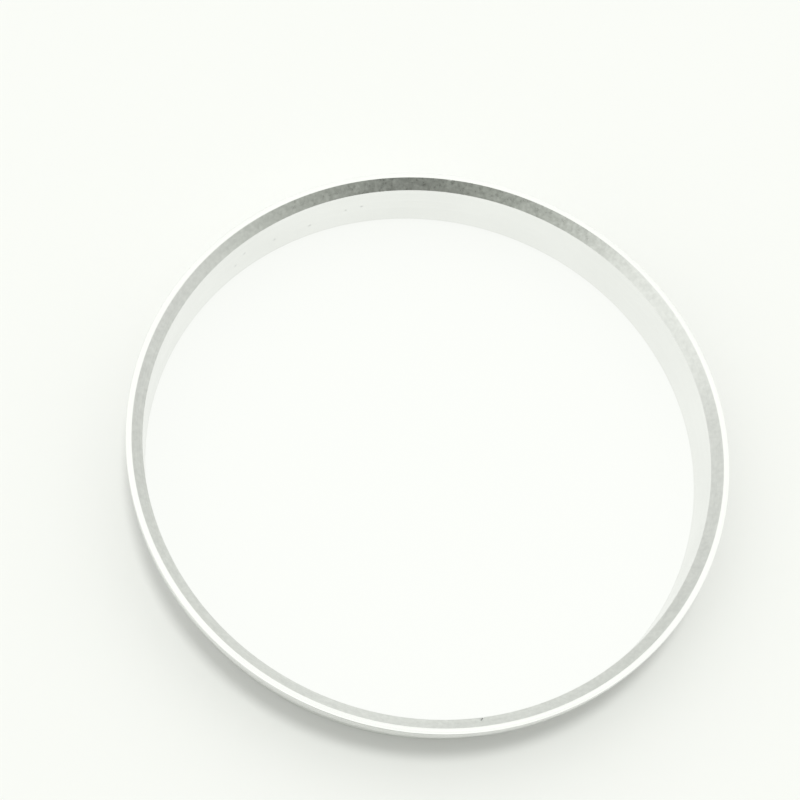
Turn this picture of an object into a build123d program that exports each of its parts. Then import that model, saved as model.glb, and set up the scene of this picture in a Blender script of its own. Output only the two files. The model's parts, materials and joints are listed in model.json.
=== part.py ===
import os

from build123d import *

# Hub centric ring, turned from one piece of aluminium. Millimetres.
# It lies as it rests: narrow nose down, thick seat end up, bore axis along +Z.

bore_diameter = 100.5  # slides over the spigot of the vehicle's hub
ring_height = 12.0
wall = 2.8  # at the thick end, so the ring is 106.1 outside
nose_wall = 1.05  # at the lower end, the nose that enters the wheel first
register_length = 2.0  # straight stretch of the outside, which locates the wheel
bore_chamfer = 1.75  # 45 degree lead-in, clears the fillet at the foot of the spigot
edge_break = 0.1  # corners lightly deburred after turning

bore_radius = bore_diameter / 2
outer_radius = bore_radius + wall
nose_radius = bore_radius + nose_wall
taper_top = ring_height - register_length

os.makedirs("parts", exist_ok=True)

with BuildPart() as hub_ring:
    # half section: straight bore, tapered nose, short straight register on top
    with BuildSketch(Plane.XZ):
        with BuildLine():
            Polyline(
                (bore_radius, 0),
                (nose_radius, 0),
                (outer_radius, taper_top),
                (outer_radius, ring_height),
                (bore_radius, ring_height),
                close=True,
            )
        make_face()
    revolve(axis=Axis.Z)

    rims = hub_ring.edges().filter_by(GeomType.CIRCLE).group_by(Axis.Z)
    bore_mouth = rims[-1].sort_by(SortBy.RADIUS)[0]
    seat_corner = rims[-1].sort_by(SortBy.RADIUS)[-1]
    nose_corners = rims[0]

    chamfer(bore_mouth, length=bore_chamfer)
    chamfer([seat_corner, *nose_corners], length=edge_break)

hub_ring.part.label = "hub_ring"
export_step(hub_ring.part, "parts/hub_ring.step")
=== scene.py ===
import json
import math

import bpy
from mathutils import Matrix, Vector


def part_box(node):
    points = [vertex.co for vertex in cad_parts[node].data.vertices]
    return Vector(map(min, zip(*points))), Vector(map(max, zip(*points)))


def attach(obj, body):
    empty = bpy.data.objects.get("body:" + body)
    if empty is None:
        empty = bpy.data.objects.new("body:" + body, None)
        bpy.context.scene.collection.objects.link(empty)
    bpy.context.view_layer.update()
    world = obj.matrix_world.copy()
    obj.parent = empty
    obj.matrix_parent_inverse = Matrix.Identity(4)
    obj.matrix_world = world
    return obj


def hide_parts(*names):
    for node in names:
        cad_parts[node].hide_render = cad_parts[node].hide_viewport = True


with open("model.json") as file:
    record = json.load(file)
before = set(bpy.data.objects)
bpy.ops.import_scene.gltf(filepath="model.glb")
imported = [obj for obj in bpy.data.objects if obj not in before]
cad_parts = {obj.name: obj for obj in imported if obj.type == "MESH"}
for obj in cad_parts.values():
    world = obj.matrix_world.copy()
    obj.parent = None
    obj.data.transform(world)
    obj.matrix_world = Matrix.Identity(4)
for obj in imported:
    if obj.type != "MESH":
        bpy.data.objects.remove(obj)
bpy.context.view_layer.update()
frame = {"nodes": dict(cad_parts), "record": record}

mm = 0.001
mounts = {mount["name"]: mount for mount in frame["record"]["mounts"]}
print("frame loaded, nodes:", ", ".join(frame["nodes"]))


def addNode(tree, kind, values=None, **settings):
    # values go to sockets by name or number, and a socket given as a value is linked
    node = tree.nodes.new("ShaderNode" + kind)
    for name, value in settings.items():
        setattr(node, name, value)
    for key, value in (values or {}).items():
        if isinstance(value, bpy.types.NodeSocket):
            tree.links.new(value, node.inputs[key])
        else:
            node.inputs[key].default_value = value
    return node


def mixColor(tree, factor, first, second):
    values = {0: factor, 6: first, 7: second}  # the node's colour sockets
    return addNode(tree, "Mix", values, data_type="RGBA").outputs[2]


def mixValue(tree, factor, first, second):
    return addNode(tree, "Mix", {0: factor, 2: first, 3: second}).outputs[0]


def remap(tree, value, fromLow, fromHigh, toLow, toHigh, curve="LINEAR"):
    values = {0: value, 1: fromLow, 2: fromHigh, 3: toLow, 4: toHigh}
    return addNode(tree, "MapRange", values, interpolation_type=curve).outputs[0]


def maths(tree, operation, *values):
    return addNode(tree, "Math", dict(enumerate(values)), operation=operation).outputs[0]


def vectorMaths(tree, operation, *values):
    node = addNode(tree, "VectorMath", dict(enumerate(values)), operation=operation)
    return node.outputs["Value" if operation in ("LENGTH", "DISTANCE", "DOT_PRODUCT") else "Vector"]


def noise(tree, vector, size, detail, crumbs=0.5):
    values = {"Vector": vector, "Scale": 1 / size, "Detail": detail, "Roughness": crumbs}
    return addNode(tree, "TexNoise", values).outputs["Fac"]


def onRing(azimuth, radius, height):
    angle = math.radians(azimuth)
    return Vector((radius * math.cos(angle), radius * math.sin(angle), height))


# half section of the ring, all of it read from the frame
def mountSpan(name):
    half = mounts[name]["dims"]["length_mm"] * mm / 2
    middle = mounts[name]["pos_m"][2]
    return middle - half, middle + half


boreRadius = mounts["hub_bore"]["dims"]["r_mm"] * mm
seatRadius = mounts["wheel_register"]["dims"]["r_mm"] * mm
boreFoot, boreTop = mountSpan("hub_bore")
registerFoot, registerTop = mountSpan("wheel_register")
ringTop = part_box("hub_ring")[1].z
chamferAngle = math.radians(45)
chamferWidth = ringTop - boreTop  # at that angle it is as wide as it is high
edgeBreak = ringTop - registerTop
noseRadius = 2 * mounts["nose_face"]["pos_m"][0] - boreRadius
boreEdge = Vector((boreRadius, boreTop))
seatEdge = Vector((boreRadius + chamferWidth, ringTop))
# the seat's inner edge faces midway between the seat and the chamfer
seatEdgeOut = Vector((-math.sin(chamferAngle / 2), math.cos(chamferAngle / 2)))

ringShape = {
    "segments": 720,
    "cornerRadius": 0.03 * mm,  # what the deburring leaves on each corner
    "cornerSteps": 4,
    "loops": {"bore": 12, "chamfer": 14, "seat": 6, "outside": 2},
    "chamferCrowding": 1.5,  # how strongly loops crowd towards the bore's upper edge
    "boreCrowding": 2.5,
    "fineStep": 0.05 * mm,  # finer columns where a dent is
    "fineReach": 1.0 * mm,  # to each side of it
    "fineGap": 0.25,  # of a segment, kept free beside them
    "flatWeight": 100,  # so that flats stay flat up to their corners
}

# marks left by handling: a slanted nick on the bore's edge,
# and two small flats on the seat's inner edge
nick = {
    "azimuth": 296.75,
    "up": 0.37 * mm,  # its middle is this far up the chamfer
    "slant": 124.0,  # degrees from the edge
    "length": 0.62 * mm,
    "width": 0.13 * mm,
    "depth": 0.18 * mm,
    "burr": 0.05 * mm,  # metal pushed up beside it
    "burrAway": 2,  # widths from the middle of the nick
}
flats = [
    {"azimuth": 104.35, "length": 0.36 * mm, "depth": 0.09 * mm},
    {"azimuth": 111.70, "length": 0.24 * mm, "depth": 0.05 * mm},
]


def sectionCorners():
    # anticlockwise, radius then height; each name is the face that starts at its corner
    taperRun = Vector((seatRadius - noseRadius, registerFoot)).normalized() * edgeBreak
    return [
        ("outside", (boreRadius, boreFoot)),
        ("outside", (boreRadius + edgeBreak, 0)),
        ("outside", (noseRadius - edgeBreak, 0)),
        ("outside", (noseRadius + taperRun.x, taperRun.y)),
        ("outside", (seatRadius, registerFoot)),
        ("seat", (seatRadius, registerTop)),  # the broken corner is finished with the seat
        ("seat", (seatRadius - edgeBreak, ringTop)),
        ("chamfer", seatEdge),
        ("bore", boreEdge),
    ]


def roundedCorner(before, corner, after):
    back = (before - corner).normalized()
    ahead = (after - corner).normalized()
    half = back.angle(ahead) / 2
    radius = ringShape["cornerRadius"]
    middle = corner + (back + ahead).normalized() * radius / math.sin(half)
    start = corner + back * radius / math.tan(half) - middle
    steps = ringShape["cornerSteps"]
    turn = (math.pi - 2 * half) / steps
    return [middle + Matrix.Rotation(turn * step, 2) @ start for step in range(steps + 1)]


def loopShare(face, share):
    # loops crowd towards the bore's upper edge, where the nick is
    if face == "chamfer":
        return 1 - (1 - share) ** ringShape["chamferCrowding"]
    if face == "bore":
        return share ** ringShape["boreCrowding"]
    return share


def sectionLoops():
    # the section with its rounded corners and the loops between them, as (point, face name)
    faces = [face for face, corner in sectionCorners()]
    corners = [Vector(corner) for face, corner in sectionCorners()]
    count = len(corners)
    arcs = [roundedCorner(corners[n - 1], corners[n], corners[(n + 1) % count]) for n in range(count)]
    section = []
    for number, face in enumerate(faces):
        arc = arcs[number]
        section += [(point, faces[number - 1]) for point in arc[:len(arc) // 2]]
        section += [(point, face) for point in arc[len(arc) // 2:]]
        nextStart = arcs[(number + 1) % count][0]
        loops = ringShape["loops"][face]
        for loop in range(1, loops):
            section.append((arc[-1].lerp(nextStart, loopShare(face, loop / loops)), face))
    return section


def ringAngles():
    step = 2 * math.pi / ringShape["segments"]
    angles = [step * number for number in range(ringShape["segments"])]
    half = ringShape["fineReach"] / boreRadius
    clear = half + ringShape["fineGap"] * step
    count = round(2 * ringShape["fineReach"] / ringShape["fineStep"])
    for dent in (nick, *flats):
        centre = math.radians(dent["azimuth"])
        angles = [angle for angle in angles if abs(angle - centre) > clear]
        angles += [centre + half * (2 * number / count - 1) for number in range(count + 1)]
    return sorted(angles)


def alongRing(angle, azimuth):
    return math.remainder(angle - math.radians(azimuth), 2 * math.pi) * boreRadius


def nickShape(angle, point):
    # how far a point is pushed in by the nick, and how far up beside it, both from 0 to 1
    along = alongRing(angle, nick["azimuth"])
    away = point - boreEdge
    up = math.copysign(away.length, away.x + away.y) - nick["up"]
    slant = math.radians(nick["slant"])
    run = along * math.cos(slant) + up * math.sin(slant)
    side = up * math.cos(slant) - along * math.sin(slant)
    stroke = math.exp(-(run / nick["length"]) ** 4)  # even along its length, then a short end
    dip = stroke * math.exp(-(side / nick["width"]) ** 2)
    ridge = stroke * math.exp(-(side / nick["width"] + nick["burrAway"]) ** 2)
    return dip, ridge


def cutFlat(flat, angle, point):
    # a flat across the seat's inner edge, deepest in its middle
    depth = flat["depth"] * (1 - (alongRing(angle, flat["azimuth"]) / flat["length"]) ** 2)
    proud = (point - seatEdge).dot(seatEdgeOut) + depth
    return point - seatEdgeOut * proud if depth > 0 and proud > 0 else point


def markedPoint(angle, point, inward):
    # the point with the nick and the flats in it, and how deep in the nick it is
    dip, ridge = nickShape(angle, point)
    point = point + inward * (nick["depth"] * dip - nick["burr"] * ridge)
    for flat in flats:
        point = cutFlat(flat, angle, point)
    return point, dip


def buildRing():
    section = sectionLoops()
    angles = ringAngles()
    count = len(section)
    verts = []
    # how deep each point lies in the nick, the mask for the painted shade there
    nickShadeMarks = []
    for angle in angles:
        for number, (point, face) in enumerate(section):
            run = section[(number + 1) % count][0] - section[number - 1][0]
            inward = Vector((-run.y, run.x)).normalized()
            point, dip = markedPoint(angle, point, inward)
            verts.append((point.x * math.cos(angle), point.x * math.sin(angle), point.y))
            nickShadeMarks.append(dip)
    quads = []
    faceNames = []
    for column in range(len(angles)):
        here = column * count
        beside = (column + 1) % len(angles) * count
        for row in range(count):
            above = (row + 1) % count
            quads.append((here + row, beside + row, beside + above, here + above))
            faceNames.append(section[row][1])
    mesh = bpy.data.meshes.new("ringTurned")
    mesh.from_pydata(verts, [], quads)
    finishes = list(finishOf)
    for finish in finishes:
        mesh.materials.append(finishOf[finish])
    mesh.polygons.foreach_set("material_index", [finishes.index(name) for name in faceNames])
    mesh.attributes.new("nickShadeMark", "FLOAT", "POINT").data.foreach_set("value", nickShadeMarks)
    mesh.shade_smooth()
    ring = bpy.data.objects.new("ringTurned", mesh)
    bpy.context.scene.collection.objects.link(ring)
    weights = ring.modifiers.new("flatFaces", "WEIGHTED_NORMAL")
    weights.mode = "FACE_AREA"
    weights.weight = ringShape["flatWeight"]
    return ring


# one alloy, turned with another tool and feed on each face
boreFinish = {
    "smoothColor": (0.910, 0.917, 0.900),
    "roughColor": (0.875, 0.883, 0.864),
    "smooth": 0.17,  # roughness where it is smoothest
    "rough": 0.27,  # and where it is roughest
    "anisotropy": 0.45,
    "linePitch": 0.35 * mm,
    "lineDepth": 0.004 * mm,
    "patchSize": 1.0 * mm,
    "patchDepth": 0.0003 * mm,
    "lineShare": 0.35,  # shares of the lines, patches and clouds in what is rough
    "patchShare": 0.08,
    "cloudShare": 0.57,
    # small dark specks: azimuth, height and size
    "specks": [
        (122.9, 5.8 * mm, 0.46 * mm),
        (126.5, 5.5 * mm, 0.40 * mm),
        (134.8, 3.7 * mm, 0.52 * mm),
        (143.6, 4.3 * mm, 0.46 * mm),
        (151.7, 6.1 * mm, 0.46 * mm),
        (154.2, 4.1 * mm, 0.44 * mm),
    ],
}
chamferFinish = {
    "smoothColor": (0.620, 0.629, 0.610),
    "roughColor": (0.930, 0.942, 0.917),
    "smooth": 0.25,
    "rough": 0.36,
    "anisotropy": 0.55,
    "linePitch": 0.25 * mm,
    "lineDepth": 0.002 * mm,
    "patchSize": 0.9 * mm,
    "patchDepth": 0.050 * mm,
    "lineShare": 0.10,
    "patchShare": 0.80,
    "cloudShare": 0.10,
    "specks": [],
}
seatFinish = {
    "smoothColor": (0.965, 0.970, 0.957),
    "roughColor": (0.930, 0.936, 0.920),
    "smooth": 0.15,
    "rough": 0.23,
    "anisotropy": 0.4,
    "linePitch": 0.25 * mm,
    "lineDepth": 0.003 * mm,
    "patchSize": 1.2 * mm,
    "patchDepth": 0.0003 * mm,
    "lineShare": 0.65,
    "patchShare": 0.05,
    "cloudShare": 0.30,
    "specks": [],
}
outsideFinish = {
    "smoothColor": (0.815, 0.823, 0.805),
    "roughColor": (0.735, 0.745, 0.725),
    "smooth": 0.18,
    "rough": 0.30,
    "anisotropy": 0.45,
    "linePitch": 0.50 * mm,
    "lineDepth": 0.003 * mm,
    "patchSize": 1.2 * mm,
    "patchDepth": 0.0001 * mm,
    "lineShare": 0.68,
    "patchShare": 0.02,
    "cloudShare": 0.30,
    "specks": [],
}
# what the finishes share
grain = {
    "driftSize": 40 * mm,  # how far round the ring a turning line keeps its look
    "driftPitches": 2,  # how many pitches it wanders
    "lineDetail": 1,
    "patchDetail": 4,
    "patchCrumbs": 0.70,  # how much the finest detail of a patch shows
    "cloudSize": 16 * mm,
    "cloudDetail": 3,
    "middle": 0.5,  # mean of the noise
    "smoothest": 0.33,  # noise seldom goes below the one or above the other
    "roughest": 0.67,
    "glossTurn": 0.25,  # of a full turn: grooves run round, and gloss spreads across them
}
# the stretch of the ring whose patches show most: to its core, to its rim, and what is left beyond
worn = {"azimuth": 104.0, "core": 6 * mm, "rim": 58 * mm, "beyond": 0.42}
# real dark specks of dirt on the bore, and painted shade in the nick; they share one dark colour
speckDirtAndNickShade = {
    "color": (0.10, 0.105, 0.10),
    "speckStrength": 0.18,
    "speckCore": 0.2,  # of a speck's size, and it fades from there
    "nickShadeStrength": 0.55,
    "nickShadeFrom": 0.25,  # of the nick's depth: where the painted shade starts, and where it is full
    "nickShadeFull": 0.75,
}


def turnedMetal(name, finish):
    material = bpy.data.materials.new(name)
    material.use_nodes = True
    tree = material.node_tree
    shader = tree.nodes["Principled BSDF"]
    coords = addNode(tree, "TexCoord").outputs["Object"]
    # radius and height are the same all the way round, so noise read from them runs in circles
    radius = vectorMaths(tree, "LENGTH", vectorMaths(tree, "MULTIPLY", coords, (1, 1, 0)))
    height = addNode(tree, "SeparateXYZ", {0: coords}).outputs["Z"]
    wander = grain["driftPitches"] * finish["linePitch"]
    drift = remap(tree, noise(tree, coords, grain["driftSize"], 0), 0, 1, 0, wander)
    section = addNode(tree, "CombineXYZ", {0: radius, 1: height, 2: drift}).outputs[0]
    lines = noise(tree, section, finish["linePitch"], grain["lineDetail"])
    patches = noise(tree, coords, finish["patchSize"], grain["patchDetail"], grain["patchCrumbs"])
    clouds = noise(tree, coords, grain["cloudSize"], grain["cloudDetail"])
    away = vectorMaths(tree, "DISTANCE", coords, onRing(worn["azimuth"], seatRadius, ringTop))
    showing = remap(tree, away, worn["core"], worn["rim"], 1, worn["beyond"], "SMOOTHSTEP")
    patches = mixValue(tree, showing, grain["middle"], patches)

    roughShare = maths(tree, "MULTIPLY", lines, finish["lineShare"])
    roughShare = maths(tree, "MULTIPLY_ADD", patches, finish["patchShare"], roughShare)
    roughShare = maths(tree, "MULTIPLY_ADD", clouds, finish["cloudShare"], roughShare)
    roughShare = remap(tree, roughShare, grain["smoothest"], grain["roughest"], 0, 1)
    color = mixColor(tree, roughShare, (*finish["smoothColor"], 1), (*finish["roughColor"], 1))
    for azimuth, at, size in finish["specks"]:
        away = vectorMaths(tree, "DISTANCE", coords, onRing(azimuth, boreRadius, at))
        core = speckDirtAndNickShade["speckCore"] * size
        speck = remap(tree, away, core, size, speckDirtAndNickShade["speckStrength"], 0, "SMOOTHSTEP")
        color = mixColor(tree, speck, color, (*speckDirtAndNickShade["color"], 1))
    # painted shade in the nick: the colour darkens the deeper the point lies in it
    mark = addNode(tree, "Attribute", attribute_name="nickShadeMark").outputs["Fac"]
    nickShadeRange = (speckDirtAndNickShade["nickShadeFrom"], speckDirtAndNickShade["nickShadeFull"], 0, speckDirtAndNickShade["nickShadeStrength"])
    mark = remap(tree, mark, *nickShadeRange, "SMOOTHSTEP")
    color = mixColor(tree, mark, color, (*speckDirtAndNickShade["color"], 1))
    tree.links.new(color, shader.inputs["Base Color"])

    roughness = remap(tree, roughShare, 0, 1, finish["smooth"], finish["rough"])
    tree.links.new(roughness, shader.inputs["Roughness"])
    grooves = addNode(tree, "Bump", {"Height": lines, "Distance": finish["lineDepth"]}).outputs[0]
    pits = {"Height": patches, "Distance": finish["patchDepth"], "Normal": grooves}
    tree.links.new(addNode(tree, "Bump", pits).outputs[0], shader.inputs["Normal"])
    tangent = addNode(tree, "Tangent", direction_type="RADIAL", axis="Z").outputs[0]
    tree.links.new(tangent, shader.inputs["Tangent"])
    shader.inputs["Metallic"].default_value = 1.0
    shader.inputs["Anisotropic"].default_value = finish["anisotropy"]
    shader.inputs["Anisotropic Rotation"].default_value = grain["glossTurn"]
    return material


finishOf = {
    "bore": turnedMetal("boreTurned", boreFinish),
    "chamfer": turnedMetal("chamferTurned", chamferFinish),
    "seat": turnedMetal("seatTurned", seatFinish),
    "outside": turnedMetal("outsideTurned", outsideFinish),
}
print("finishes made:", ", ".join(finishOf))

ring = buildRing()
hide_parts("hub_ring")
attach(ring, "root")
print("ring turned:", len(ring.data.polygons), "faces")

floorSheet = {
    "halfWidth": 4.0,
    "color": (0.873, 0.872, 0.867),
    "roughness": 0.85,
    "gloss": 0.2,
    "white": (0.983, 1.0, 0.965),
    # how far it reads as plain white in the picture and in the metal, inside the ring and outside;
    # the higher share inside is painted light that lifts the ring's shade on the floor there and
    # brightens the bore that reflects it
    "paintedLightInside": 0.85,
    "whiteOutside": 0.05,
    "wallStart": 0.20,  # from here to there it takes on the wall's tone, so that no edge shows
    "wallEnd": 2.50,
}


def buildFloor():
    half = floorSheet["halfWidth"]
    corners = [(-half, -half, 0), (half, -half, 0), (half, half, 0), (-half, half, 0)]
    mesh = bpy.data.meshes.new("floorSheet")
    mesh.from_pydata(corners, [], [(0, 1, 2, 3)])
    floor = bpy.data.objects.new("floorSheet", mesh)
    bpy.context.scene.collection.objects.link(floor)
    material = bpy.data.materials.new("floorPaper")
    material.use_nodes = True
    tree = material.node_tree
    paper = tree.nodes["Principled BSDF"]
    paper.inputs["Base Color"].default_value = (*floorSheet["color"], 1)
    paper.inputs["Roughness"].default_value = floorSheet["roughness"]
    paper.inputs["Specular IOR Level"].default_value = floorSheet["gloss"]
    rays = addNode(tree, "LightPath").outputs
    seen = maths(tree, "MAXIMUM", rays["Is Camera Ray"], rays["Is Glossy Ray"])
    seen = maths(tree, "MAXIMUM", seen, rays["Is Transmission Ray"])
    # the share of white changes under the ring's foot, where nobody sees it; inside the ring it is
    # painted light over the shade the wall casts
    away = vectorMaths(tree, "LENGTH", addNode(tree, "TexCoord").outputs["Object"])
    shares = (floorSheet["paintedLightInside"], floorSheet["whiteOutside"])
    near = remap(tree, away, boreRadius, noseRadius, *shares)
    far = remap(tree, away, floorSheet["wallStart"], floorSheet["wallEnd"], 0, 1)
    share = maths(tree, "MULTIPLY", seen, maths(tree, "MAXIMUM", near, far))
    wall = [tent["wallLevel"] * part for part in tent["color"]]
    tone = mixColor(tree, far, (*floorSheet["white"], 1), (*wall, 1))
    white = addNode(tree, "Emission", {"Color": tone, "Strength": 1.0})
    both = addNode(tree, "MixShader", {0: share, 1: paper.outputs[0], 2: white.outputs[0]})
    tree.links.new(both.outputs[0], tree.nodes["Material Output"].inputs["Surface"])
    mesh.materials.append(material)


def towards(azimuth, elevation):
    up = math.radians(elevation)
    return onRing(azimuth, math.cos(up), math.sin(up))


tent = {
    "color": (0.985, 1.0, 0.965),
    "wallLevel": 0.73,
    "roofLevel": 1.08,
    "roofFrom": 0.9,  # sine of the elevation where that level is reached
    # plain wall below the first elevation, opening and window full from the second
    "skirt": (8.0, 20.0),
    # the open side, towards the front right: where its middle is, and degrees from there
    "opening": {
        "azimuth": -58.0,
        "elevation": 33.0,
        "level": 0.245,
        "core": 4.0,
        "rim": 61.0,
        "color": (0.940, 1.0, 0.880),  # of the room beyond
    },
    "darkest": {"azimuth": -57.0, "elevation": 33.0, "level": 0.07, "core": 3.0, "rim": 14.0},
    # the brighter panel at the left
    "window": {"azimuth": -150.0, "elevation": 18.0, "level": 1.13, "core": 10.0, "rim": 32.0},
}


def lightTent():
    world = bpy.data.worlds.new("lightTent")
    world.use_nodes = True
    tree = world.node_tree
    background = tree.nodes["Background"]
    direction = addNode(tree, "TexCoord").outputs["Generated"]
    upward = addNode(tree, "SeparateXYZ", {0: direction}).outputs["Z"]
    levels = (tent["wallLevel"], tent["roofLevel"])
    level = remap(tree, upward, 0, tent["roofFrom"], *levels, "SMOOTHSTEP")
    low, high = [math.sin(math.radians(elevation)) for elevation in tent["skirt"]]
    above = remap(tree, upward, low, high, 0, 1, "SMOOTHSTEP")
    color = (*tent["color"], 1)
    for part in (tent["opening"], tent["darkest"], tent["window"]):
        way = towards(part["azimuth"], part["elevation"])
        facing = vectorMaths(tree, "DOT_PRODUCT", direction, way)
        rim = math.cos(math.radians(part["rim"]))
        core = math.cos(math.radians(part["core"]))
        inside = maths(tree, "MULTIPLY", remap(tree, facing, rim, core, 0, 1), above)
        level = mixValue(tree, inside, level, part["level"])
        if "color" in part:
            color = mixColor(tree, inside, color, (*part["color"], 1))
    tree.links.new(level, background.inputs["Strength"])
    tree.links.new(color, background.inputs["Color"])
    bpy.context.scene.world = world


lamp = {
    "azimuth": 112.0,
    "elevation": 87.0,
    "distance": 1.00,
    "size": 0.20,
    "power": 3.05,
    "color": (0.985, 1.0, 0.965),
}


def hangLamp():
    light = bpy.data.lights.new("softLamp", "AREA")
    light.shape = "DISK"
    light.size = lamp["size"]
    light.energy = lamp["power"]
    light.color = lamp["color"]
    holder = bpy.data.objects.new("softLamp", light)
    way = towards(lamp["azimuth"], lamp["elevation"])
    holder.location = way * lamp["distance"]
    holder.rotation_euler = way.to_track_quat("Z", "Y").to_euler()
    holder.visible_glossy = False  # it draws the shadow on the floor, the metal shows the tent
    bpy.context.scene.collection.objects.link(holder)


viewPoint = {
    "aim": (-7.341 * mm, 3.078 * mm, 12.0 * mm),
    "distance": 246.49 * mm,
    "front": -90.0,  # azimuth of the ring's front
    "azimuth": 3.961,  # from there
    "elevation": 64.457,
    "roll": 15.750,
    "lens": 63.111,
    "nearest": 0.01,
    "farthest": 20.0,
}


def placeCamera():
    data = bpy.data.cameras.new("camera")
    data.lens = viewPoint["lens"]
    data.clip_start = viewPoint["nearest"]
    data.clip_end = viewPoint["farthest"]
    camera = bpy.data.objects.new("camera", data)
    back = towards(viewPoint["front"] + viewPoint["azimuth"], viewPoint["elevation"])
    turned = back.to_track_quat("Z", "Y").to_matrix().to_4x4()
    roll = Matrix.Rotation(math.radians(viewPoint["roll"]), 4, "Z")
    place = Matrix.Translation(Vector(viewPoint["aim"]) + back * viewPoint["distance"])
    camera.matrix_world = place @ turned @ roll
    bpy.context.scene.collection.objects.link(camera)
    bpy.context.scene.camera = camera


buildFloor()
lightTent()
hangLamp()
placeCamera()
bpy.context.scene.view_settings.view_transform = "Standard"
print("floor, light and camera set")
